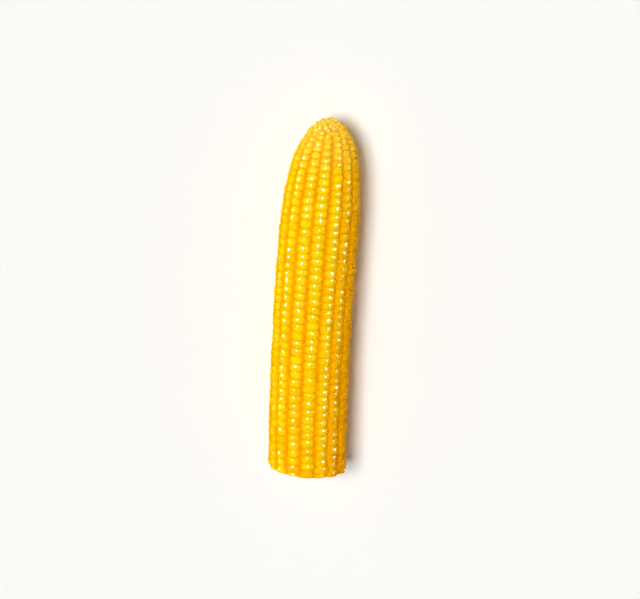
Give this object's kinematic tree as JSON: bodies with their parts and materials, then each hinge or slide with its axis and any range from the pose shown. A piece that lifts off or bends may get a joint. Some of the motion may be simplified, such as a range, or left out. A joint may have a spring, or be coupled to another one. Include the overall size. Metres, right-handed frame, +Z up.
{
  "type": "corn cob",
  "caption": "Trimmed sweet corn cob lying on its side: straight rows of plump kernels, a rounded tip and a flat cut butt.",
  "frame": {"origin": "on the surface the cob lies on, under the middle of its footprint", "axes": "+Y along the cob from the cut butt to the tip, +Z up from the surface it lies on, +X to the right when the tip points away"},
  "size_m": [0.046, 0.2, 0.0434],
  "materials": {
    "kernel_skin": "cooked sweetcorn skin, wet gloss",
    "cut_flesh": "sawn cob, damp and fibrous"
  },
  "bodies": {
    "root": {"corn_cob": "kernel_skin"}
  },
  "joints": []
}
